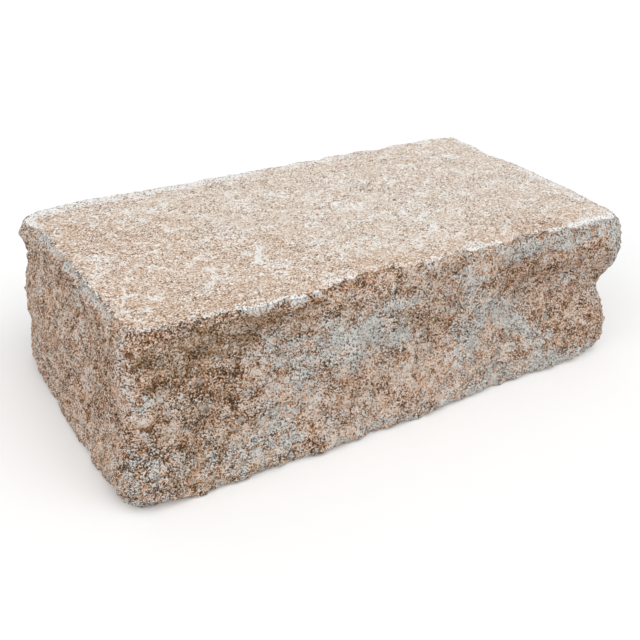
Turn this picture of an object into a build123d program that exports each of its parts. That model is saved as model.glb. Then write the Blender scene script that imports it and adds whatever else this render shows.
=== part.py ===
from build123d import *
import math
import os
import random
from collections import namedtuple

# A tumbled, split-face wall block of pressed concrete, which is one piece.
# Millimetres. +X runs along the block, the split front faces -Y and +Z is up.
# The origin is the middle of the flat base.

# The block as moulded
block_length = 400.0
block_depth = 200.0
block_height = 120.0

# How far each broken side stands out at the base beyond its top edge
front_lean = 11.0
right_lean = 5.0
back_lean = 3.0
left_lean = 6.0

# How far out of square the back is: its left end stands further out than its right
back_skew = 5.0

# Wear from tumbling: the upright corners, and the rims of the top and the base
front_right_wear = 11.0
back_right_wear = 8.0
back_left_wear = 14.0
front_left_wear = 13.0
top_rim_wear = 2.6
base_rim_wear = 3.2
rim_wear_change = 0.25  # as a share of the wear, either way
rim_drop = 1.2  # height of the worn rim for each millimetre of its width
rim_bluntness = 1.7  # 1 is a straight bevel, and 2 is nearly a quarter round

# Unevenness of the broken sides: each kind has its wave length and its height
broad_wave = 120.0
broad_height = 1.5
middle_wave = 62.0
middle_height = 1.1
short_wave = 28.0
short_height = 1.0
rim_share = 0.45  # what is left of the unevenness at the top and base rims

# How closely the skin follows all this
station_step = 9.0
corner_steps = 3
rim_steps = 2
side_steps = 12

right = block_length / 2
left = -right
back = block_depth / 2
front = -back
top = block_height

# A swell stands proud where its height is positive and is a hollow where it is
# negative. It fades out over its reach along each axis.
Swell = namedtuple("Swell", "centre reach height")

swells = [
    # Front: the deep spall under the lip at the right, and its tail to the corner
    Swell((right - 74, front, top - 48), (40, 40, 24), -9.0),
    Swell((right - 14, front, top - 64), (24, 40, 14), -4.0),
    # Front: the lip over the spall, the ridge at its left and the foot below it
    Swell((right - 22, front, top - 26), (60, 40, 20), 6.0),
    Swell((right, front, top - 42), (20, 40, 14), 3.0),
    Swell((right - 128, front, top - 45), (16, 40, 34), 3.0),
    Swell((right - 50, front, 16), (60, 40, 20), 3.5),
    # Front: the undercut below the top edge at the left, and the valley beside it
    Swell((left + 70, front, top - 28), (60, 40, 16), -5.0),
    Swell((left + 52, front, top - 62), (14, 40, 40), -3.0),
    # Front: the hollow in the middle, and the foot along the base
    Swell((left + 238, front, top - 50), (26, 40, 24), -4.0),
    Swell((left + 120, front, 8), (110, 40, 26), 6.0),
    # The corner of the base at the right, the one nearest to the view and the one at the left
    Swell((right, front, 10), (26, 30, 20), -2.5),
    Swell((left, front, 0), (26, 26, 18), -2.0),
    Swell((left, back, 0), (30, 40, 30), -2.0),
    # Left end: the hollow under its top edge, the recess at its back corner and its foot
    Swell((left, front + 105, top - 24), (40, 32, 16), -5.0),
    Swell((left, back - 10, top - 34), (30, 40, 18), -4.0),
    Swell((left, back, top - 70), (30, 30, 30), -3.0),
    Swell((left, front + 70, 8), (40, 60, 24), 3.0),
    # Back: its top edge stands out, and the rest is a side that the view doesn't show
    Swell((left + 200, back, top), (160, 40, 30), 1.5),
    Swell((right - 120, back, top - 55), (55, 40, 26), -6.0),
    Swell((left + 90, back, top - 70), (45, 40, 24), 3.0),
    # Right end: its top edge stands out, and the rest is a side that the view doesn't show
    Swell((right, front + 50, top), (40, 80, 26), 5.5),
    Swell((right, back - 70, top - 60), (40, 38, 28), -5.0),
]

# Where the rim of the top or the base has broken away further than elsewhere
Chip = namedtuple("Chip", "centre reach size")

chips = [
    Chip((left + 165, front, top), 30, 7.0),
    Chip((left, front, top), 20, 4.0),
    Chip((left, front, 0), 20, 5.0),
    Chip((left, back, top), 24, 4.0),
    Chip((right, front, top), 20, 3.0),
    Chip((right, front, 0), 26, 5.0),
    Chip((right, back - 60, top), 12, 3.0),
    Chip((right - 90, back, top), 16, 2.0),
    Chip((left + 70, back, 0), 24, 5.0),
]


def make_waves(length, seed, count=7):
    """Plane waves of one length in scattered directions, as (direction, phase)."""
    chance = random.Random(seed)
    waves = []
    for _ in range(count):
        along, up = chance.uniform(0, 2 * math.pi), chance.uniform(-1, 1)
        flat = math.sqrt(1 - up * up)
        pull = 2 * math.pi / length
        direction = Vector(flat * math.cos(along), flat * math.sin(along), up) * pull
        waves.append((direction, chance.uniform(0, 2 * math.pi)))
    return waves


def ripple(place, waves):
    """The sum of the waves at a place, about 1 high."""
    heights = [math.sin(direction.dot(place) + phase) for direction, phase in waves]
    return sum(heights) / math.sqrt(len(heights) / 2)


unevenness = [
    (make_waves(broad_wave, 3), broad_height),
    (make_waves(middle_wave, 11), middle_height),
    (make_waves(short_wave, 29), short_height),
]
rim_waves = make_waves(short_wave, 5)


def away(place, centre, reach):
    """Distance between two places, counted in reaches along each axis."""
    return math.sqrt(sum(((p - c) / r) ** 2 for p, c, r in zip(place, centre, reach)))


def relief(place, facing):
    """How far the broken side stands out of the moulded box at a place on it."""
    share_down = 1 - place.Z / block_height
    cos, sin = math.cos(facing), math.sin(facing)
    lean = max(cos, 0) * right_lean + max(-cos, 0) * left_lean
    lean += max(sin, 0) * back_lean + max(-sin, 0) * front_lean
    out = lean * share_down
    out += max(sin, 0) * back_skew * (0.5 - place.X / block_length)
    middle = math.sin(math.pi * place.Z / block_height)
    fade = rim_share + (1 - rim_share) * middle
    out += fade * sum(height * ripple(place, waves) for waves, height in unevenness)
    for swell in swells:
        out += swell.height * math.exp(-away(place, swell.centre, swell.reach) ** 2)
    return out


def rim_width(place, wear):
    """How far in the worn rim of the top or the base reaches at a place on it."""
    width = wear * (1 + rim_wear_change * ripple(place, rim_waves))
    for chip in chips:
        width += chip.size * math.exp(-away(place, chip.centre, [chip.reach] * 3) ** 2)
    return max(width, wear / 2)


def stations():
    """Places round the moulded plan, each with the angle that it faces out."""
    found = []
    sides = [
        (block_length, back, front_left_wear, front_right_wear),
        (block_depth, right, front_right_wear, back_right_wear),
        (block_length, back, back_right_wear, back_left_wear),
        (block_depth, right, back_left_wear, front_left_wear),
    ]
    for quarter, (span, reach, wear_before, wear_after) in enumerate(sides):
        facing = math.radians(90 * quarter - 90)
        out = Vector(math.cos(facing), math.sin(facing))
        along = Vector(-out.Y, out.X)
        start, end = wear_before - span / 2, span / 2 - wear_after
        steps = round((end - start) / station_step)
        for i in range(steps + 1):
            place = out * reach + along * (start + (end - start) * i / steps)
            found.append((place, facing))
        centre = out * (reach - wear_after) + along * end
        for i in range(1, corner_steps):
            turned = facing + math.pi / 2 * i / corner_steps
            corner = Vector(math.cos(turned), math.sin(turned)) * wear_after
            found.append((centre + corner, turned))
    return found


def climb(station):
    """The points of one station, from the base rim up the side to the top rim."""
    plan, facing = station
    out = Vector(math.cos(facing), math.sin(facing))
    low = rim_width(plan, base_rim_wear)
    high = rim_width(plan + Vector(0, 0, block_height), top_rim_wear)
    side_low, side_high = low * rim_drop, block_height - high * rim_drop
    rim = [i / rim_steps for i in range(rim_steps)]
    steps = [(side_low * share, low * (1 - share) ** rim_bluntness) for share in rim]
    for i in range(side_steps + 1):
        steps.append((side_low + (side_high - side_low) * i / side_steps, 0))
    for share in reversed(rim):
        height = block_height - high * rim_drop * share
        steps.append((height, high * (1 - share) ** rim_bluntness))
    points = []
    for height, inset in steps:
        place = plan + Vector(0, 0, height)
        points.append(place + out * (relief(place, facing) - inset))
    return points


def make_block():
    """Lofts the block through closed curves that run round it, one above another."""
    climbs = [climb(station) for station in stations()]
    shares = [i / len(climbs) for i in range(len(climbs) + 1)]
    rings = [
        Wire([Edge.make_spline(list(ring), periodic=True, parameters=shares)])
        for ring in zip(*climbs)
    ]
    block = Solid.make_loft(rings)
    middle = block.bounding_box().center()
    return block.moved(Location((-middle.X, -middle.Y, 0)))


os.makedirs("parts", exist_ok=True)
wall_block = make_block()
export_step(wall_block, "parts/wall_block.step")
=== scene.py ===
import itertools
import math
from collections import namedtuple

import bpy
import numpy as np
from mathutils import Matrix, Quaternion, Vector


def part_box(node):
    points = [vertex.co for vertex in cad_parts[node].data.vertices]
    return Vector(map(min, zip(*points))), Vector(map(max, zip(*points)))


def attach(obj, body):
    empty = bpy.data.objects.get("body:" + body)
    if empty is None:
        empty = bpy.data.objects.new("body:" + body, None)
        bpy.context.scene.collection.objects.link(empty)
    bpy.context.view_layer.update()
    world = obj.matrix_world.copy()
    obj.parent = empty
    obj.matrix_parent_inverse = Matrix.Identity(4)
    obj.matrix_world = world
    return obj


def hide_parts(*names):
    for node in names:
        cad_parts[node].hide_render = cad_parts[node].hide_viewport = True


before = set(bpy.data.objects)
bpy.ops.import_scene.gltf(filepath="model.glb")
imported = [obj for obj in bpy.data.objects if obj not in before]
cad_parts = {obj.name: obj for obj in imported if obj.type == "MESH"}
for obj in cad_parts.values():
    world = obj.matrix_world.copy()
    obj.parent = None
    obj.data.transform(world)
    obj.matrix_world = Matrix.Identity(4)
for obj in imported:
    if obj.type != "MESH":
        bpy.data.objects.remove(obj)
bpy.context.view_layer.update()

# The looks of a tumbled, split-face wall block of pressed concrete. One piece, the
# stone skin, stands for the plain CAD block. It takes the block's own shape and
# adds the broken relief, the crumbled rims and the pores, and it carries a
# concrete material of grit, pebbles, lime bloom and dust.
# Lengths are metres in the block's frame: +X along it, the front faces -Y, +Z up.

bl_info = {
    "name": "Tumbled wall block",
    "version": (1, 0, 0),
    "blender": (4, 5, 0),
    "location": "3D View > Sidebar > Block",
    "description": "Builds a split and tumbled concrete wall block on its CAD frame",
    "category": "Add Mesh",
}

mm = 0.001
node_name = "wall_block"

low_corner, high_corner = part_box(node_name)
left, front, base = low_corner
right, back, top = high_corner


class BlockSkinSettings(bpy.types.PropertyGroup):
    """Sizes of the broken and the moulded surfaces."""

    voxel: bpy.props.FloatProperty(
        name="Voxel", description="Size of the skin's voxels", default=1.25 * mm, unit="LENGTH"
    )
    triangles: bpy.props.IntProperty(
        name="Triangles", description="Most triangles that the skin keeps", default=190000
    )
    lump: bpy.props.FloatProperty(
        name="Lumps",
        description="Height of the broken sides' lumps",
        default=0.9 * mm,
        unit="LENGTH",
    )
    grit: bpy.props.FloatProperty(
        name="Grit", description="Height of the broken sides' grit", default=1.0 * mm, unit="LENGTH"
    )
    pebble: bpy.props.FloatProperty(
        name="Pebbles",
        description="How far pebbles stand out of the broken sides",
        default=0.9 * mm,
        unit="LENGTH",
    )
    crumble: bpy.props.FloatProperty(
        name="Crumbling",
        description="How deep the rims are crumbled",
        default=1.5 * mm,
        unit="LENGTH",
    )
    wear: bpy.props.FloatProperty(
        name="Wear",
        description="Depth of the top's worn rims, for each millimetre in their list",
        default=1.0 * mm,
        unit="LENGTH",
    )
    bed_grit: bpy.props.FloatProperty(
        name="Bed grit",
        description="Height of the grit on the moulded top and base",
        default=0.3 * mm,
        unit="LENGTH",
    )
    brown: bpy.props.FloatVectorProperty(
        name="Brown",
        description="Split concrete where it is brown",
        default=(0.55, 0.325, 0.17),
        subtype="COLOR",
    )
    orange: bpy.props.FloatVectorProperty(
        name="Orange",
        description="Split concrete where it is fresher",
        default=(0.78, 0.43, 0.245),
        subtype="COLOR",
    )
    grey: bpy.props.FloatVectorProperty(
        name="Grey",
        description="Grey sand grains and pebbles",
        default=(0.42, 0.42, 0.39),
        subtype="COLOR",
    )
    lime: bpy.props.FloatVectorProperty(
        name="Lime",
        description="Lime bloom over the split concrete",
        default=(0.67, 0.67, 0.63),
        subtype="COLOR",
    )
    dusty: bpy.props.FloatVectorProperty(
        name="Dusty",
        description="The moulded top and base",
        default=(0.66, 0.555, 0.465),
        subtype="COLOR",
    )
    tan: bpy.props.FloatVectorProperty(
        name="Tan",
        description="The top where less dust lies on it",
        default=(0.585, 0.415, 0.30),
        subtype="COLOR",
    )
    scuff: bpy.props.FloatVectorProperty(
        name="Scuff",
        description="White scuffs and dust",
        default=(0.90, 0.88, 0.85),
        subtype="COLOR",
    )


class BlockStageSettings(bpy.types.PropertyGroup):
    """The camera's place, and the light."""

    azimuth: bpy.props.FloatProperty(
        name="Azimuth",
        description="Camera's turn about the block",
        default=math.radians(-33.15),
        unit="ROTATION",
    )
    elevation: bpy.props.FloatProperty(
        name="Elevation",
        description="Camera's height as an angle",
        default=math.radians(30.03),
        unit="ROTATION",
    )
    roll: bpy.props.FloatProperty(
        name="Roll",
        description="Camera's turn about its own axis",
        default=math.radians(2.45),
        unit="ROTATION",
    )
    distance: bpy.props.FloatProperty(
        name="Distance",
        description="From the camera to its target",
        default=747 * mm,
        unit="LENGTH",
    )
    target: bpy.props.FloatVectorProperty(
        name="Target",
        description="Point that the camera looks at",
        default=(-2.6 * mm, 0.8 * mm, 30.4 * mm),
        unit="LENGTH",
    )
    lens: bpy.props.FloatProperty(
        name="Lens", description="Focal length in millimetres on a 36 mm sensor", default=53.33
    )
    key: bpy.props.FloatProperty(
        name="Key light",
        description="Strength of the soft light from above and the front",
        default=1.3,
    )
    fill: bpy.props.FloatProperty(
        name="Fill light", description="Strength of the soft light from the left", default=0.85
    )
    surround: bpy.props.FloatProperty(
        name="Surround", description="Strength of the light from all round", default=0.58
    )


# Noise in space

noise_cells = 48


def smooth_noise(points, wave, seed):
    """Smooth noise of one wave length, about -1 to 1, at each of the points."""
    chance = np.random.default_rng(seed)
    table = chance.uniform(-1, 1, (noise_cells,) * 3)
    turn = np.linalg.qr(chance.normal(size=(3, 3)))[0]
    place = points @ turn * (2 / wave) + chance.uniform(0, noise_cells, 3)
    cell = np.floor(place).astype(int)
    part = place - cell
    fade = part * part * (3 - 2 * part)
    total = np.zeros(len(points))
    for corner in itertools.product((0, 1), repeat=3):
        share = np.prod(np.where(corner, fade, 1 - fade), axis=1)
        total += share * table[tuple(((cell + corner) % noise_cells).T)]
    return total


def pebble_field(points, spacing, seed):
    """Each point's distance to its nearest pebble, in spacings, and that pebble's own number.

    The number is random, from 0 to 1, and picks out some of the pebbles.
    """
    chance = np.random.default_rng(seed)
    shifts = chance.uniform(0.1, 0.9, (noise_cells, noise_cells, noise_cells, 3))
    own = chance.uniform(0, 1, (noise_cells,) * 3)
    place = points / spacing
    cell = np.floor(place).astype(int)
    nearest = np.full(len(points), 9.0)
    number = np.zeros(len(points))
    for step in itertools.product((-1, 0, 1), repeat=3):
        there = cell + step
        index = tuple((there % noise_cells).T)
        distance = np.linalg.norm(there + shifts[index] - place, axis=1)
        closer = distance < nearest
        nearest = np.where(closer, distance, nearest)
        number = np.where(closer, own[index], number)
    return nearest, number


def ease(values, start, end):
    """0 before start, 1 past end, and a smooth rise between."""
    share = np.clip((values - start) / (end - start), 0, 1)
    return share * share * (3 - 2 * share)


# Places on the skin

# A bloom is a stroke on one side, from its start to its end, that fades out over its
# reach. Places are millimetres: along and up on the front (X, Z) and the left end
# (Y, Z), and X, Y on the top.
Bloom = namedtuple("Bloom", "side start end reach amount")

# Over these shares of a normal a face comes to count as facing a side
turned_to_side = (0.1, 0.6)

# Each side's two axes, and the way that it faces
sides = {
    "front": ((0, 2), (0, -1, 0)),
    "left": ((1, 2), (-1, 0, 0)),
    "top": ((0, 1), (0, 0, 1)),
}

# Pale lime bloom on the split sides
lime_blooms = [
    Bloom("front", (-100, 90), (-80, 62), 15, 0.6),
    Bloom("front", (-66, 93), (-30, 88), 12, 0.65),
    Bloom("front", (-60, 77), (-46, 68), 9, 0.7),
    Bloom("front", (-36, 79), (2, 68), 13, 0.75),
    Bloom("front", (-12, 95), (20, 93), 6, 0.8),
    Bloom("front", (-106, 42), (-98, 20), 12, 0.65),
    Bloom("front", (-80, 56), (-40, 52), 10, 0.3),
    Bloom("front", (-195, 42), (-175, 25), 11, 0.35),
    Bloom("front", (-150, 30), (-120, 12), 16, 0.35),
    Bloom("front", (-164, 72), (-148, 64), 8, 0.35),
    Bloom("front", (62, 98), (62, 45), 12, 0.7),
    Bloom("front", (62, 45), (45, 20), 14, 0.35),
    Bloom("front", (80, 72), (132, 30), 11, 0.85),
    Bloom("front", (95, 18), (60, 10), 13, 0.4),
    Bloom("front", (132, 9), (190, 8), 9, 1.0),
    Bloom("front", (-60, 8), (120, 5), 6, 0.45),
    Bloom("front", (95, 106), (165, 105), 6, 0.8),
    Bloom("front", (80, 113), (200, 114), 5, 0.6),
    Bloom("front", (196, 108), (204, 82), 9, 1.0),
    Bloom("front", (156, 76), (163, 71), 5, 1.3),
    Bloom("front", (-202, 112), (-198, 70), 7, 0.5),
    # Below zero, less lime; under the front's top lip and in its hollows this is part of their
    # painted shade
    Bloom("front", (-180, 106), (-60, 108), 16, -0.4),
    Bloom("front", (-168, 92), (-136, 50), 14, -0.3),
    Bloom("front", (-45, 44), (30, 34), 18, -0.25),
    Bloom("front", (20, 84), (30, 66), 13, -0.5),
    Bloom("front", (96, 84), (160, 92), 14, -0.4),
    Bloom("front", (150, 55), (180, 26), 20, -0.5),
    Bloom("left", (-106, 30), (-104, 5), 12, 0.7),
    Bloom("left", (68, 30), (74, 15), 8, 0.6),
    Bloom("left", (-24, 116), (-8, 104), 7, 0.7),
    Bloom("left", (-112, 95), (-108, 60), 7, 0.4),
    Bloom("left", (90, 110), (60, 114), 10, 0.3),
    Bloom("left", (60, 60), (-60, 60), 50, -0.3),
]

# Where the split concrete is fresher and orange, and below zero where it is olive
# brown. On the top it is where less dust lies on the tan concrete.
fresh_blooms = [
    Bloom("front", (-33, 112), (-4, 114), 12, 0.6),
    Bloom("front", (90, 75), (185, 35), 28, 0.4),
    Bloom("front", (110, 110), (170, 100), 14, 0.2),
    Bloom("front", (30, 86), (22, 64), 14, 0.35),
    Bloom("front", (-40, 42), (40, 30), 24, 0.25),
    # Olive brown at the front's left, under its top lip and below it: partly painted shade of the
    # lip
    Bloom("front", (-180, 106), (-60, 108), 18, -0.3),
    Bloom("front", (-168, 80), (-130, 20), 30, -0.2),
    Bloom("left", (100, 60), (-90, 60), 80, 0.45),
    Bloom("left", (-95, 112), (-75, 114), 14, 0.5),
    Bloom("top", (-195, 20), (-195, -80), 26, 0.9),
    Bloom("top", (-170, 30), (-80, -70), 60, 0.8),
    Bloom("top", (-190, -86), (-70, -90), 20, 0.9),
    Bloom("top", (-60, -86), (190, -84), 16, 0.9),
    Bloom("top", (-32, -98), (-6, -98), 13, 0.9),
]

# Darker patches: painted shade in the hollows and under the top lip of the front and of the left
# end, partly darker concrete too; below zero where it is paler
shade_and_dirt_blooms = [
    Bloom("front", (-185, 108), (-100, 106), 13, 0.3),
    Bloom("front", (-100, 110), (-48, 110), 8, 0.15),
    Bloom("front", (-176, 92), (-132, 72), 13, 0.4),
    Bloom("front", (-160, 60), (-150, 30), 12, 0.3),
    Bloom("front", (-203, 44), (-190, 12), 14, 0.6),
    Bloom("front", (94, 90), (122, 86), 13, 0.3),
    Bloom("front", (140, 45), (168, 26), 17, 0.4),
    Bloom("front", (16, 80), (30, 68), 8, 0.6),
    Bloom("front", (-58, 52), (-50, 46), 6, 0.5),
    Bloom("front", (-90, 14), (-80, 8), 8, 0.3),
    Bloom("front", (-60, 36), (70, 26), 34, -0.25),
    Bloom("front", (0, 112), (80, 110), 9, -0.25),
    Bloom("left", (-60, 72), (-66, 66), 9, 0.8),
    Bloom("left", (-38, 100), (-46, 84), 9, 0.45),
    Bloom("left", (16, 104), (12, 96), 10, 0.3),
    Bloom("left", (90, 52), (92, 30), 9, 0.4),
    Bloom("left", (60, 60), (-40, 30), 40, -0.05),
    Bloom("top", (110, -70), (140, -90), 12, 0.35),
    Bloom("top", (-190, -88), (-110, -92), 14, 0.2),
    Bloom("top", (-40, -92), (-5, -94), 8, 0.3),
    Bloom("top", (-185, 60), (-180, 40), 12, 0.25),
    Bloom("top", (-120, 45), (-135, 30), 10, 0.2),
]

# White scuffs and dust on the moulded top
scuff_blooms = [
    Bloom("top", (20, 30), (110, -30), 45, 0.3),
    Bloom("top", (150, 60), (170, 0), 35, 0.2),
    Bloom("top", (-84, -45), (-71, -24), 3, 1.5),
    Bloom("top", (-82, 1), (-62, 5), 2, 1.3),
    Bloom("top", (-62, 5), (-42, 2), 2, 1.2),
    Bloom("top", (-77, -54), (-64, -49), 2, 1.2),
    Bloom("top", (-42, -30), (-32, -38), 2, 1.1),
    Bloom("top", (-20, 55), (-8, 42), 3, 1.1),
    Bloom("top", (-18, -50), (-10, -61), 2, 1.2),
    Bloom("top", (2, -62), (10, -47), 3, 1.2),
    Bloom("top", (16, 16), (18, 8), 4, 1.1),
    Bloom("top", (27, -16), (43, -15), 3, 1.1),
    Bloom("top", (40, 42), (67, 44), 3, 0.9),
    Bloom("top", (55, -57), (62, -48), 4, 1.6),
    Bloom("top", (58, -36), (68, -29), 5, 1.1),
    Bloom("top", (60, 76), (63, 60), 2, 0.9),
    Bloom("top", (96, -86), (116, -68), 2, 1.2),
    Bloom("top", (143, 36), (149, 15), 3, 0.9),
    Bloom("top", (147, 80), (154, 74), 3, 0.9),
    Bloom("top", (-141, -91), (-110, -89), 4, 0.9),
    Bloom("top", (-182, -88), (-173, -95), 4, 0.9),
    Bloom("top", (-58, -88), (-38, -88), 4, 0.9),
    Bloom("top", (50, -94), (68, -94), 4, 0.9),
    Bloom("top", (167, -95), (184, -88), 5, 1.0),
    Bloom("top", (-84, 42), (-78, 14), 6, 0.5),
]

# Where more dust lies along the top's rim, and below zero where the rim is freshly chipped
rim_blooms = [
    Bloom("top", (-190, 100), (-10, 100), 10, 0.25),
    Bloom("top", (-146, -100), (-44, -102), 8, 0.7),
    Bloom("top", (-2, -100), (80, -100), 8, 0.5),
    Bloom("top", (128, -100), (190, -100), 8, 0.6),
    Bloom("top", (-33, -100), (-6, -98), 12, -0.9),
    Bloom("front", (-142, 119), (-48, 119), 5, 0.9),
    Bloom("front", (0, 119), (84, 119), 5, 0.9),
    Bloom("front", (-33, 112), (-6, 112), 12, -0.9),
    Bloom("left", (-98, 112), (-78, 114), 10, -0.9),
    Bloom("top", (-198, -92), (-176, -98), 14, -0.6),
    Bloom("top", (-200, 60), (-200, -74), 9, 0.4),
]

# Where the top's rim is worn round: a line along it, in millimetres, the way that the
# stone has gone from there, how wide and how deep
Wear = namedtuple("Wear", "start end inwards reach depth")

worn_rims = [
    Wear((-204, 70, 120), (-203, -94, 120), (0.6, 0, -0.8), 12, 2.6),
    Wear((-197, -102, 120), (-150, -105, 120), (0, 0.6, -0.8), 12, 2.4),
    Wear((-36, -102, 120), (-8, -102, 120), (0, 0.7, -0.7), 9, 2.2),
    Wear((102, -101, 120), (124, -101, 120), (0, 0.7, -0.7), 7, 1.2),
]


def line_share(points, start, end, reach):
    """1 on the line, fading out over the reach. Only the points are in metres."""
    place = points / mm - np.array(start)
    along = np.array(end, dtype=float) - np.array(start)
    share = np.clip(place @ along / (along @ along), 0, 1)
    away = np.linalg.norm(place - share[:, None] * along, axis=1)
    return np.exp(-((away / reach) ** 2))


def blooms_at(points, normals, blooms):
    """The sum of the blooms at each of the points."""
    total = np.zeros(len(points))
    for bloom in blooms:
        axes, facing = sides[bloom.side]
        turned_here = ease(normals @ np.array(facing), *turned_to_side)
        share = line_share(points[:, axes], bloom.start, bloom.end, bloom.reach)
        total += turned_here * bloom.amount * share
    return total


# Meshes

def read_points(mesh, name="co"):
    """The vertices' places, or their normals, as an array."""
    found = np.zeros(len(mesh.vertices) * 3)
    source = mesh.vertices if name == "co" else mesh.vertex_normals
    source.foreach_get(name, found)
    return found.reshape(-1, 3)


def bake_modifier(piece, kind, **settings):
    """Adds one modifier to the piece and makes its result the piece's mesh."""
    modifier = piece.modifiers.new(kind.title(), kind)
    for name, value in settings.items():
        setattr(modifier, name, value)
    graph = bpy.context.evaluated_depsgraph_get()
    mesh = bpy.data.meshes.new_from_object(piece.evaluated_get(graph))
    piece.modifiers.clear()
    piece.data = mesh


# Where the split sides pass into the flat beds and into the bevel of a rim, by the up or
# down part of a normal, and how far from a bed its rim ends
side_to_bed = (0.55, 0.9)
side_to_bevel = (0.15, 0.4)
bevel_to_bed = (0.9, 0.99)
end_of_rim = (5 * mm, 12 * mm)


def side_share(normals):
    """1 on the split sides and 0 on the flat beds."""
    return 1 - ease(np.abs(normals[:, 2]), *side_to_bed)


def rim_share(points, normals):
    """1 along the rims of the two beds, 0 elsewhere."""
    tilt = np.abs(normals[:, 2])
    bevel = ease(tilt, *side_to_bevel) * (1 - ease(tilt, *bevel_to_bed))
    near_bed = 1 - ease(np.minimum(points[:, 2] - base, top - points[:, 2]), *end_of_rim)
    return bevel * near_bed


# Wave lengths in the split sides, and the spacing of their pebbles. A pebble whose own
# number is high stands out, and one whose number is low has left a socket.
lump_wave = 14 * mm
grit_wave = 6.5 * mm
short_grit_wave = 3.4 * mm
pebble_spacing = 6 * mm
standing_above = 0.45
socket_below = 0.12
socket_depth = 1.3  # in pebble heights


def broken_relief(points, settings):
    """Height of the split sides' relief."""
    lumps = smooth_noise(points, lump_wave, 2)
    grit = smooth_noise(points, grit_wave, 3) + 0.7 * smooth_noise(points, short_grit_wave, 4)
    distance, own = pebble_field(points, pebble_spacing, 5)
    size = 0.25 + 0.3 * own
    round_top = np.sqrt(np.clip(1 - (distance / size) ** 2, 0, 1))
    pebbles = np.where(own > standing_above, round_top, 0)
    sockets = np.where(own < socket_below, ease(-distance, -0.45, -0.1), 0)
    stones = settings.pebble * (pebbles - socket_depth * sockets)
    return settings.lump * lumps + settings.grit * grit + stones


# The same for the moulded beds, which have pores, and how far down their mean level is
roll_wave = 70 * mm
short_roll_wave = 20 * mm
bed_grit_wave = 5 * mm
short_bed_grit_wave = 2.6 * mm
pore_spacing = 5 * mm
pore_below = 0.25
pore_depth = 3.5  # in heights of the beds' grit
bed_drop = 0.3 * mm


def bed_relief(points, settings):
    """Height of the moulded top's and base's relief, with its pores."""
    rolls = smooth_noise(points, roll_wave, 11) + 0.5 * smooth_noise(points, short_roll_wave, 12)
    grit = smooth_noise(points, bed_grit_wave, 13) + smooth_noise(points, short_bed_grit_wave, 14)
    distance, own = pebble_field(points, pore_spacing, 15)
    pores = np.where(own < pore_below, ease(-distance, -0.35, -0.1), 0)
    return settings.bed_grit * (rolls + grit - pore_depth * pores) - bed_drop


# How the rims crumble: each wave length with its share and its seed, what is gone on
# average, and the share that the rim escapes within the base's zone
crumble_waves = ((32 * mm, 0.5, 21), (12 * mm, 0.6, 22), (5 * mm, 0.5, 23))
mean_crumbling = 0.45
spared_at_base = 0.6
base_zone = (10 * mm, 20 * mm)


def crumbling(points, settings):
    """How far the rims have crumbled away, which is never outwards."""
    gone = mean_crumbling
    for wave, share, seed in crumble_waves:
        gone = gone + share * smooth_noise(points, wave, seed)
    by_base = 1 - ease(points[:, 2] - base, *base_zone)
    return -settings.crumble * (1 - spared_at_base * by_base) * np.clip(gone, 0, 2)


highest_grain = 0.2 * mm  # above the CAD block's top


def roughen(mesh, settings):
    """Moves the smooth block's vertices to the worn surface, mostly along their normals."""
    points, normals = read_points(mesh), read_points(mesh, "vector")
    side = side_share(normals)
    rim = rim_share(points, normals)
    out = side * broken_relief(points, settings) + (1 - side) * bed_relief(points, settings)
    out += rim * crumbling(points, settings)
    moved = points + normals * out[:, None]
    for worn in worn_rims:
        gone = settings.wear * worn.depth * line_share(points, worn.start, worn.end, worn.reach)
        moved += gone[:, None] * np.array(worn.inwards)
    moved[:, 2] = np.clip(moved[:, 2], base, top + highest_grain)
    mesh.vertices.foreach_set("co", moved.ravel())
    mesh.update()


def set_on_floor(mesh):
    """Lifts any vertex that thinning out has put below the base."""
    points = read_points(mesh)
    points[:, 2] = np.maximum(points[:, 2], base)
    mesh.vertices.foreach_set("co", points.ravel())
    mesh.update()


def store(mesh, name, values):
    """Keeps a number for each vertex under a name that the material reads."""
    attribute = mesh.attributes.new(name, "FLOAT", "POINT")
    attribute.data.foreach_set("value", values.astype(np.float32))


# How deep the beds' colour goes and how flat it needs a face to be, how wide the dusty
# rim is, and how far in from a side the beds lie clear of it
bed_depth = (1.0 * mm, 3.5 * mm)
bed_flatness = (0.3, 0.7)
rim_width = (1 * mm, 10 * mm)
clear_of_rim = 16 * mm

# Wave lengths of the lime: a little on what stands proud, and patches of it where the
# photograph shows nothing
proud_wave = 26 * mm
hidden_wave = 90 * mm
short_hidden_wave = 40 * mm


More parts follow.
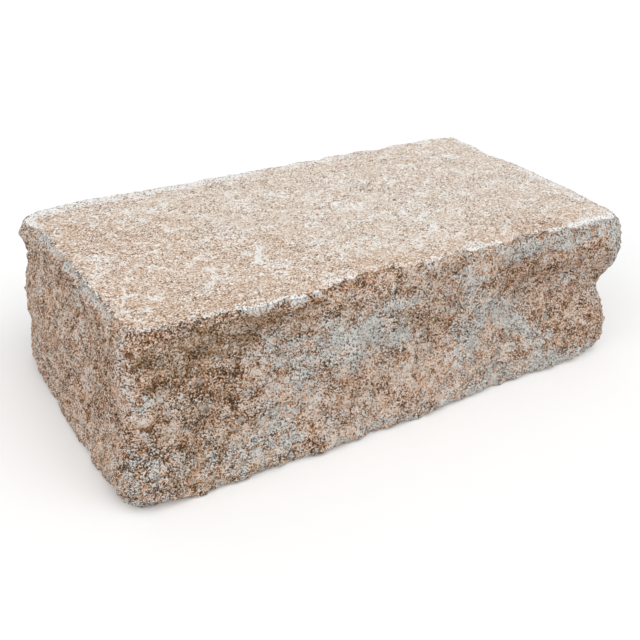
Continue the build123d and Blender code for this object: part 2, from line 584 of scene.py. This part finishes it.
def mark_places(mesh):
    """Stores what the material reads: beds, rims, lime, scuffs, fresh patches, and dark patches
    that are partly painted shade.
    """
    points, normals = read_points(mesh), read_points(mesh, "vector")
    depth_in = np.minimum(points[:, 2] - base, top - points[:, 2])
    bed = (1 - ease(depth_in, *bed_depth)) * ease(np.abs(normals[:, 2]), *bed_flatness)
    for worn in worn_rims:
        bed *= 1 - 0.95 * line_share(points, worn.start, worn.end, 1.1 * worn.reach)
    store(mesh, "bed", bed)
    inwards = np.minimum(
        np.minimum(points[:, 0] - left, right - points[:, 0]),
        np.minimum(points[:, 1] - front, back - points[:, 1]),
    )
    from_rim = depth_in + np.clip(inwards - clear_of_rim, 0, None)
    rim = 1 - ease(from_rim, *rim_width)
    store(mesh, "rim", rim * (1 + blooms_at(points, normals, rim_blooms)))
    proud = smooth_noise(points, proud_wave, 1) + 0.6 * smooth_noise(points, lump_wave, 2)
    hidden = ease(np.maximum(normals[:, 0], normals[:, 1]), *turned_to_side)
    patches = smooth_noise(points, hidden_wave, 31)
    patches = ease(patches + 0.6 * smooth_noise(points, short_hidden_wave, 32), 0.2, 0.7)
    lime = 1.3 * blooms_at(points, normals, lime_blooms)
    store(mesh, "lime", lime + 0.8 * hidden * patches + 0.2 * proud - 0.35)
    store(mesh, "scuff", blooms_at(points, normals, scuff_blooms))
    store(mesh, "fresh", blooms_at(points, normals, fresh_blooms))
    store(mesh, "dark", blooms_at(points, normals, shade_and_dirt_blooms))


def make_skin(settings):
    """The stone skin: the block's own mesh, made finer, roughened and thinned out again."""
    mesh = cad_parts[node_name].data.copy()
    mesh.materials.clear()
    skin = bpy.data.objects.new("stone_skin", mesh)
    bpy.context.scene.collection.objects.link(skin)
    bake_modifier(skin, "REMESH", mode="VOXEL", voxel_size=settings.voxel)
    roughen(skin.data, settings)
    bake_modifier(skin, "DECIMATE", ratio=settings.triangles / (2 * len(skin.data.polygons)))
    set_on_floor(skin.data)
    skin.data.shade_smooth()
    mark_places(skin.data)
    skin.data.materials.append(make_concrete(settings))
    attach(skin, "root")
    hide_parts(node_name)


# Shader nodes

def add_node(tree, kind, inputs=None, **settings):
    """A node with its settings, whose inputs are given numbers or other nodes' outputs."""
    node = tree.nodes.new(kind)
    for name, value in settings.items():
        setattr(node, name, value)
    for key, value in (inputs or {}).items():
        if isinstance(value, bpy.types.NodeSocket):
            tree.links.new(value, node.inputs[key])
        else:
            node.inputs[key].default_value = value
    return node


def mix(tree, share, first, second):
    """Mixes two colours, each a socket or an RGB triple, and returns the colour."""
    inputs = {0: share}
    for index, colour in ((6, first), (7, second)):
        inputs[index] = colour if isinstance(colour, bpy.types.NodeSocket) else (*colour, 1)
    return add_node(tree, "ShaderNodeMix", inputs, data_type="RGBA").outputs[2]


def calculate(tree, operation, first, second=0.0, third=0.0):
    """The result of one sum with numbers or sockets."""
    inputs = {0: first, 1: second, 2: third}
    return add_node(tree, "ShaderNodeMath", inputs, operation=operation).outputs[0]


def calculate_place(tree, operation, inputs):
    """The result of one sum with places."""
    return add_node(tree, "ShaderNodeVectorMath", inputs, operation=operation).outputs[0]


def step_up(tree, value, start, end):
    """0 before start, 1 past end, and a smooth rise between."""
    node = add_node(
        tree,
        "ShaderNodeMapRange",
        {"Value": value, "From Min": start, "From Max": end},
        interpolation_type="SMOOTHSTEP",
    )
    return node.outputs[0]


def noise(tree, place, scale, detail=2.0, roughness=0.5):
    """A noise texture's outputs: a value, Fac, and a Color."""
    inputs = {"Vector": place, "Scale": scale, "Detail": detail, "Roughness": roughness}
    return add_node(tree, "ShaderNodeTexNoise", inputs).outputs


def warp(tree, place, scale, amount):
    """The place, shifted at random by about that share of one cell of the scale."""
    shift = noise(tree, place, scale, 1.0)["Color"]
    shift = calculate_place(tree, "SUBTRACT", {0: shift, 1: (0.5, 0.5, 0.5)})
    reach = calculate(tree, "DIVIDE", 2 * amount, scale)
    shift = calculate_place(tree, "SCALE", {0: shift, "Scale": reach})
    return calculate_place(tree, "ADD", {0: place, 1: shift})


def new_group(name, inputs, outputs):
    """An empty shader node group and its two ends. Place is a vector, the rest are numbers."""
    tree = bpy.data.node_groups.new(name, "ShaderNodeTree")
    for way, sockets in (("INPUT", inputs), ("OUTPUT", outputs)):
        for socket in sockets:
            kind = "NodeSocketVector" if socket == "Place" else "NodeSocketFloat"
            tree.interface.new_socket(socket, in_out=way, socket_type=kind)
    start = tree.nodes.new("NodeGroupInput").outputs
    end = tree.nodes.new("NodeGroupOutput").inputs
    return tree, start, end


def ramp(tree, value, stops):
    """The colour at a value from 0 to 1 between stops, each a place and an RGB triple."""
    node = add_node(tree, "ShaderNodeValToRGB", {"Fac": value})
    elements = node.color_ramp.elements
    for place, colour in stops[2:]:
        elements.new(place)
    for element, (place, colour) in zip(elements, stops):
        element.position = place
        element.color = (*colour, 1)
    return node.outputs["Color"]


grain_warp = 0.9  # in grains, so that they are rough and not round


def make_grain_group():
    """Sand grains of one size: each one's tone, its own number, and how far out it stands."""
    tree, start, end = new_group("Sand grains", ["Place", "Scale"], ["Tone", "Own", "Height"])
    rough_place = warp(tree, start["Place"], start["Scale"], grain_warp)
    cells = add_node(tree, "ShaderNodeTexVoronoi", {"Vector": rough_place, "Scale": start["Scale"]})
    own = add_node(tree, "ShaderNodeSeparateColor", {"Color": cells.outputs["Color"]}).outputs
    tree.links.new(own["Red"], end["Tone"])
    tree.links.new(own["Green"], end["Own"])
    tree.links.new(calculate(tree, "SUBTRACT", 1.0, cells.outputs["Distance"]), end["Height"])
    return tree


def make_ragged_group():
    """A patch that fills where the amount is high and breaks up, grain by grain, at its edge."""
    inputs = ["Place", "Amount", "Scale", "Raggedness", "Grain"]
    tree, start, end = new_group("Ragged patch", inputs, ["Mask"])
    wander = noise(tree, start["Place"], start["Scale"], 5.0, 0.65)["Fac"]
    wander = calculate(tree, "SUBTRACT", wander, 0.5)
    level = calculate(tree, "MULTIPLY_ADD", wander, start["Raggedness"], start["Amount"])
    level = calculate(tree, "ADD", level, start["Grain"])
    tree.links.new(step_up(tree, level, 0.0, 1.0), end["Mask"])
    return tree


def make_mark_group():
    """Thin curved marks, as other blocks rub on in the tumbler, broken into short lengths."""
    tree, start, end = new_group("Rubbed marks", ["Place", "Scale", "Width"], ["Mask"])
    curves = noise(tree, start["Place"], start["Scale"])["Fac"]
    off_line = calculate(tree, "ABSOLUTE", calculate(tree, "SUBTRACT", curves, 0.5))
    line = calculate(tree, "SUBTRACT", 1.0, calculate(tree, "DIVIDE", off_line, start["Width"]))
    closer = calculate(tree, "MULTIPLY", start["Scale"], 1.7)
    kept = step_up(tree, noise(tree, start["Place"], closer, 3.0)["Fac"], 0.46, 0.54)
    tree.links.new(calculate(tree, "MULTIPLY", step_up(tree, line, 0.0, 0.6), kept), end["Mask"])
    return tree


def put_group(tree, group, inputs):
    """Places the group in the tree and returns its outputs."""
    return add_node(tree, "ShaderNodeGroup", inputs, node_tree=group).outputs


# Each stop of a sand ramp: its place, how much of the main colour, and how much white goes in.
# Where the main colour's share is below pit_share, the stop is a brown pit of painted shade
# instead.
split_stops = (
    (0.0, 0.15, 0.0),
    (0.15, 0.42, 0.0),
    (0.42, 0.84, 0.0),
    (0.64, 1.08, 0.1),
    (0.82, 1.2, 0.45),
    (1.0, 1.3, 1.0),
)
brown_stops = (
    (0.0, 0.15, 0.0),
    (0.15, 0.42, 0.0),
    (0.42, 0.84, 0.0),
    (0.64, 1.06, 0.0),
    (0.82, 1.2, 0.2),
    (1.0, 1.3, 0.8),
)
bed_stops = (
    (0.0, 0.4, 0.0),
    (0.14, 0.6, 0.0),
    (0.28, 0.92, 0.0),
    (0.5, 1.0, 0.0),
    (0.72, 1.06, 0.1),
    (0.84, 1.1, 0.5),
    (1.0, 1.1, 1.0),
)
warm_white = (0.93, 0.87, 0.8)
cool_white = (0.92, 0.94, 0.93)
# Brown of the pits: painted shade between the grains
pit_shade_brown = (0.56, 0.28, 0.11)
pit_share = 0.5
brightest = 0.95


def sand(tree, tone, colour, stops=split_stops, palest=warm_white):
    """Sand of one main colour, from its darkest pits, which are painted shade, to its palest
    grains.
    """
    shades = []
    for place, share, pale in stops:
        main = pit_shade_brown if share < pit_share else colour
        sandy = [min(share * part, brightest) for part in main]
        shade = [part * (1 - pale) + pale * most for part, most in zip(sandy, palest)]
        shades.append((place, shade))
    return ramp(tree, tone, shades)


# Sizes of what the concrete shows: its sand and chippings, its pits and its patches
fine_sand = 0.9 * mm
middle_sand = 2.2 * mm
chippings = 6.0 * mm
pit_size = 1.2 * mm
lively_patch = 16 * mm
uneven_patch = 9 * mm
broad_patch = 35 * mm
dust_cloud = 50 * mm
lime_edge = 7 * mm
scuff_edge = 5 * mm
bed_edge = 6 * mm
dust_edge = 8 * mm
rubbed_curve = 18 * mm
rubbed_width = 0.035  # in the value of the noise whose middle draws the curves
bump_height = 1.0 * mm
concrete_roughness = 0.92
concrete_specular = 0.25


def make_concrete(settings):
    """Pressed concrete with chippings: brown where it is split, pale and dusty on its beds."""
    material = bpy.data.materials.new("tumbled_concrete")
    material.use_nodes = True
    tree = material.node_tree
    shader = tree.nodes["Principled BSDF"]
    place = add_node(tree, "ShaderNodeTexCoord").outputs["Object"]

    def stored(name):
        return add_node(tree, "ShaderNodeAttribute", attribute_name=name).outputs["Fac"]

    def patchy(size, detail=2.0, roughness=0.5):
        return noise(tree, place, 1 / size, detail, roughness)["Fac"]

    def scaled(value, factor, shift=0.0):
        return calculate(tree, "MULTIPLY_ADD", value, factor, shift)

    def centred(value, factor):
        return scaled(value, factor, -factor / 2)

    def total(*values):
        sum_so_far = values[0]
        for value in values[1:]:
            sum_so_far = calculate(tree, "ADD", sum_so_far, value)
        return sum_so_far

    def ragged(amount, size, raggedness, by_grain):
        inputs = {
            "Place": place,
            "Amount": amount,
            "Scale": 1 / size,
            "Raggedness": raggedness,
            "Grain": centred(grain_tone, by_grain),
        }
        return put_group(tree, ragged_group, inputs)["Mask"]

    def some_chippings(own_range, height, height_range):
        picked = step_up(tree, coarse["Own"], *own_range)
        return calculate(tree, "MULTIPLY", picked, step_up(tree, height, *height_range))

    def laid_over(under, mask, share, *sand_of):
        return mix(tree, scaled(mask, share), under, sand(tree, *sand_of))

    grain_group, ragged_group = make_grain_group(), make_ragged_group()
    fine, middle, coarse = [
        put_group(tree, grain_group, {"Place": place, "Scale": 1 / size})
        for size in (fine_sand, middle_sand, chippings)
    ]
    # Pits: noise that darkens the tone as painted shade and dents the bump
    pits = patchy(pit_size, 3.0, 0.8)
    liveliness = scaled(patchy(lively_patch), 1.6, 0.2)
    uneven = patchy(uneven_patch, 3.0, 0.55)
    broad = patchy(broad_patch, 4.0, 0.6)
    # Darker where the dark patches lie: painted shade in the hollows and under the lips, partly
    # darker concrete
    darker = scaled(stored("dark"), -0.4)

    # From the darkest pit, 0, darkened as painted shade, to the palest grain, 1
    grain_tone = total(centred(fine["Tone"], 1.2), centred(middle["Tone"], 0.2), centred(pits, 4.5))
    grain_tone = calculate(tree, "MULTIPLY_ADD", grain_tone, liveliness, 0.57)
    tone = total(grain_tone, centred(uneven, 2.0), darker)

    # Split stone: brown, or fresher and orange, with grey grains, pebbles and their sockets
    freshness = total(broad, stored("fresh"), centred(fine["Own"], 0.3))
    brown_sand = sand(tree, tone, settings.brown, brown_stops)
    orange_sand = sand(tree, tone, settings.orange)
    split = mix(tree, step_up(tree, freshness, 0.42, 0.62), brown_sand, orange_sand)
    grey_grain = step_up(tree, middle["Own"], 0.82, 0.86)
    split = laid_over(split, grey_grain, 0.35, tone, settings.grey)
    pebble = some_chippings((0.84, 0.86), coarse["Height"], (0.6, 0.72))
    pebble_tone = total(
        scaled(coarse["Tone"], 0.6, 0.3), centred(pits, 1.0), centred(fine["Tone"], 0.2)
    )
    split = laid_over(split, pebble, 0.85, pebble_tone, settings.grey)
    # Sockets that pebbles have left: dark brown, painted shade in them
    rough_height = total(coarse["Height"], centred(pits, 0.4))
    socket = some_chippings((0.17, 0.15), rough_height, (0.6, 0.8))
    split = laid_over(split, socket, 0.85, scaled(tone, 0.5, -0.15), settings.brown)

    # Lime bloom over the split stone
    lime = ragged(stored("lime"), lime_edge, 5.0, 0.9)
    lime_tone = total(scaled(grain_tone, 0.75, 0.24), centred(uneven, 0.8))
    split = laid_over(split, lime, 0.9, lime_tone, settings.lime, split_stops, cool_white)

    # Moulded beds: dust over sand, which shows in the pits, with pores and white scuffs
    bed_tone = total(scaled(grain_tone, 0.9, 0.1), centred(uneven, 0.5), darker)
    tan_share = step_up(tree, total(stored("fresh"), centred(broad, 2.0)), 0.0, 1.0)
    dusty_sand = sand(tree, bed_tone, settings.dusty, bed_stops)
    tan_sand = sand(tree, bed_tone, settings.tan, bed_stops)
    bed = mix(tree, tan_share, dusty_sand, tan_sand)
    bare = step_up(tree, bed_tone, 0.32, 0.12)
    bed = laid_over(bed, bare, 0.85, total(bed_tone, 0.12), settings.orange)
    # Pores: brown concrete under the dust, darkened further as painted shade in them
    pore = some_chippings((0.3, 0.28), coarse["Height"], (0.7, 0.82))
    bed = laid_over(bed, pore, 0.75, scaled(grain_tone, 0.6), settings.brown)
    cloud = patchy(dust_cloud, 5.0, 0.65)
    scuff = ragged(total(stored("scuff"), scaled(cloud, 1.6, -1.14)), scuff_edge, 1.6, 0.8)
    curves = {"Place": place, "Scale": 1 / rubbed_curve, "Width": rubbed_width}
    marks = put_group(tree, make_mark_group(), curves)["Mask"]
    marks = calculate(tree, "MULTIPLY", marks, step_up(tree, cloud, 0.36, 0.5))
    whitened = calculate(tree, "MAXIMUM", scaled(scuff, 0.75), scaled(marks, 0.7))
    white_sand = sand(tree, scaled(grain_tone, 0.6, 0.3), settings.scuff, bed_stops, cool_white)
    bed = mix(tree, whitened, bed, white_sand)

    bed_mask = ragged(scaled(stored("bed"), 5.0, -2.0), bed_edge, 3.0, 1.2)
    colour = mix(tree, bed_mask, split, bed)

    # Dust along the worn rims
    dust = total(scaled(stored("rim"), 2.6, -2.35), centred(broad, 4.0))
    dust = ragged(dust, dust_edge, 4.5, 1.0)
    dust_tone = scaled(grain_tone, 0.8, 0.2)
    colour = laid_over(colour, dust, 0.8, dust_tone, settings.scuff, split_stops, cool_white)
    tree.links.new(colour, shader.inputs["Base Color"])

    relief = total(scaled(fine["Height"], 0.5), middle["Height"], scaled(pits, 2.0), pebble)
    relief = calculate(tree, "MULTIPLY", relief, scaled(bed_mask, -0.75, 1.0))
    bump = add_node(
        tree, "ShaderNodeBump", {"Height": relief, "Distance": bump_height, "Strength": 1.0}
    )
    tree.links.new(bump.outputs["Normal"], shader.inputs["Normal"])
    shader.inputs["Roughness"].default_value = concrete_roughness
    shader.inputs["Specular IOR Level"].default_value = concrete_specular
    return material


# The stage

floor_seen = (0.98, 0.98, 0.98)
floor_bounce = (0.75, 0.75, 0.75)
floor_reach = 30.0
softness = math.radians(60)
key_from = (0.15, -0.5, 0.85)
fill_from = (-0.85, -0.2, 0.5)


def seen_share(tree):
    """1 for the rays on which the white backdrop shows, and 0 for those that light the block."""
    rays = add_node(tree, "ShaderNodeLightPath").outputs
    mirrored = calculate(tree, "MAXIMUM", rays["Is Glossy Ray"], rays["Is Transmission Ray"])
    return calculate(tree, "MAXIMUM", rays["Is Camera Ray"], mirrored)


def make_floor_material():
    """White to the camera, as the backdrop is, and duller to the light that it throws back."""
    material = bpy.data.materials.new("floor_pale")
    material.use_nodes = True
    tree = material.node_tree
    shader = tree.nodes["Principled BSDF"]
    colour = mix(tree, seen_share(tree), floor_bounce, floor_seen)
    tree.links.new(colour, shader.inputs["Base Color"])
    shader.inputs["Roughness"].default_value = 1.0
    shader.inputs["Specular IOR Level"].default_value = 0.0
    return material


def make_floor():
    """A pale floor that the block stands on."""
    turns = ((-1, -1), (1, -1), (1, 1), (-1, 1))
    corners = [(x * floor_reach, y * floor_reach, 0) for x, y in turns]
    mesh = bpy.data.meshes.new("floor")
    mesh.from_pydata(corners, [], [(0, 1, 2, 3)])
    mesh.materials.append(make_floor_material())
    floor = bpy.data.objects.new("floor", mesh)
    bpy.context.scene.collection.objects.link(floor)


def make_soft_light(name, direction, strength):
    """A distant light as wide as a large softbox, shining from that direction."""
    data = bpy.data.lights.new(name, "SUN")
    data.energy = strength
    data.angle = softness
    light = bpy.data.objects.new(name, data)
    light.rotation_euler = Vector(direction).to_track_quat("Z", "Y").to_euler()
    bpy.context.scene.collection.objects.link(light)


def light_surround(strength):
    """Even light from all round, behind a white background."""
    world = bpy.data.worlds.new("studio")
    world.use_nodes = True
    tree = world.node_tree
    tree.nodes["Background"].inputs["Strength"].default_value = strength
    seen = add_node(tree, "ShaderNodeBackground", {"Color": (1, 1, 1, 1), "Strength": 1.0})
    choice = add_node(
        tree,
        "ShaderNodeMixShader",
        {0: seen_share(tree), 1: tree.nodes["Background"].outputs[0], 2: seen.outputs[0]},
    )
    tree.nodes["Background"].inputs["Color"].default_value = (1, 1, 1, 1)
    tree.links.new(choice.outputs[0], tree.nodes["World Output"].inputs["Surface"])
    bpy.context.scene.world = world


def make_camera(settings):
    """The photograph's viewing angle."""
    azimuth, elevation = settings.azimuth, settings.elevation
    away = Vector((
        math.sin(azimuth) * math.cos(elevation),
        -math.cos(azimuth) * math.cos(elevation),
        math.sin(elevation),
    ))
    data = bpy.data.cameras.new("camera")
    data.lens = settings.lens
    camera = bpy.data.objects.new("camera", data)
    camera.location = Vector(settings.target) + away * settings.distance
    turn = away.to_track_quat("Z", "Y") @ Quaternion((0, 0, 1), settings.roll)
    camera.rotation_euler = turn.to_euler()
    bpy.context.scene.collection.objects.link(camera)
    bpy.context.scene.camera = camera


class OBJECT_OT_block_skin(bpy.types.Operator):
    """Build the stone skin over the CAD block"""

    bl_idname = "object.block_skin"
    bl_label = "Stone skin"

    def execute(self, context):
        make_skin(context.scene.block_skin)
        return {"FINISHED"}


class OBJECT_OT_block_stage(bpy.types.Operator):
    """Set up the floor, the soft light and the camera"""

    bl_idname = "object.block_stage"
    bl_label = "Stage"

    def execute(self, context):
        settings = context.scene.block_stage
        make_floor()
        make_soft_light("key", key_from, settings.key)
        make_soft_light("fill", fill_from, settings.fill)
        light_surround(settings.surround)
        make_camera(settings)
        context.scene.view_settings.view_transform = "Standard"
        return {"FINISHED"}


class VIEW3D_PT_block(bpy.types.Panel):
    """Lists the block's settings and its operators"""

    bl_label = "Wall block"
    bl_space_type = "VIEW_3D"
    bl_region_type = "UI"
    bl_category = "Block"

    def draw(self, context):
        layout = self.layout
        for settings, operator in (
            (context.scene.block_skin, OBJECT_OT_block_skin),
            (context.scene.block_stage, OBJECT_OT_block_stage),
        ):
            for name in settings.__annotations__:
                layout.prop(settings, name)
            layout.operator(operator.bl_idname)


classes = (
    BlockSkinSettings,
    BlockStageSettings,
    OBJECT_OT_block_skin,
    OBJECT_OT_block_stage,
    VIEW3D_PT_block,
)


def register():
    for each in classes:
        bpy.utils.register_class(each)
    bpy.types.Scene.block_skin = bpy.props.PointerProperty(type=BlockSkinSettings)
    bpy.types.Scene.block_stage = bpy.props.PointerProperty(type=BlockStageSettings)


def unregister():
    del bpy.types.Scene.block_stage
    del bpy.types.Scene.block_skin
    for each in reversed(classes):
        bpy.utils.unregister_class(each)


def main():
    register()
    bpy.ops.object.block_skin()
    bpy.ops.object.block_stage()
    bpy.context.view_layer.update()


if __name__ == "__main__":
    main()
